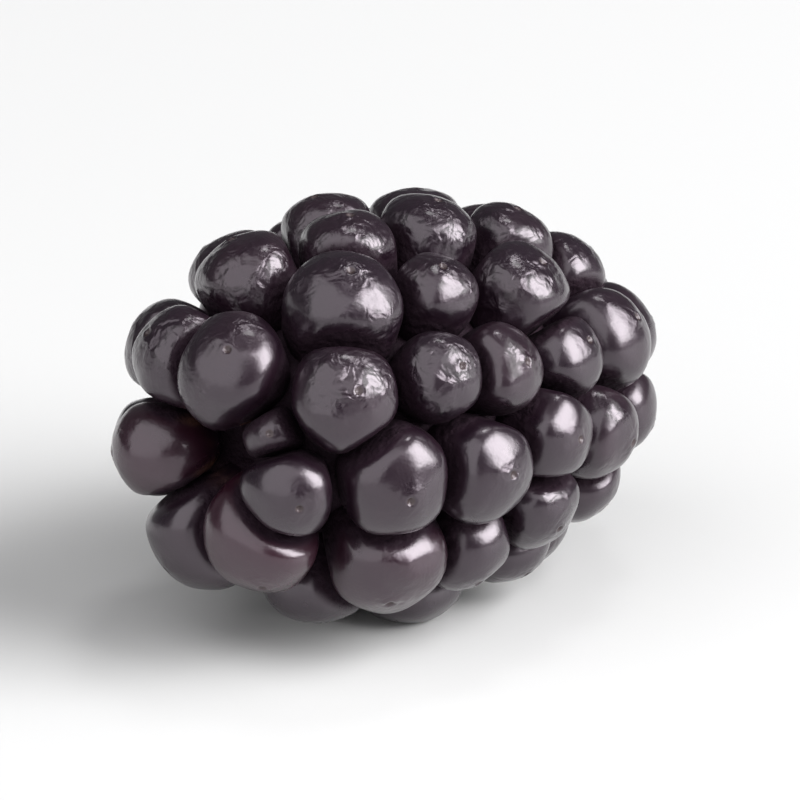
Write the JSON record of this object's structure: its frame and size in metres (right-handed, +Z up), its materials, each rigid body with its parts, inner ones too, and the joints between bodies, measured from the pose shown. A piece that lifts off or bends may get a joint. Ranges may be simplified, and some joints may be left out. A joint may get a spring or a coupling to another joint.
{
  "type": "bramble berry",
  "caption": "Whole ripe bramble berry, picked without its stalk and lying on its side: a plump oval of tightly pressed round drupelets with a hollow at the stem end.",
  "frame": {"origin": "on the surface the berry rests on, under the centre of its bounding box", "axes": "+X along the berry's long axis towards its narrower tip, with the stem end at -X; +Z up"},
  "size_m": [0.0287, 0.0208, 0.0194],
  "materials": {
    "skin": "glossy, nearly black purple fruit skin, a few drupelets redder"
  },
  "bodies": {
    "root": {"berry": "skin"}
  },
  "joints": []
}
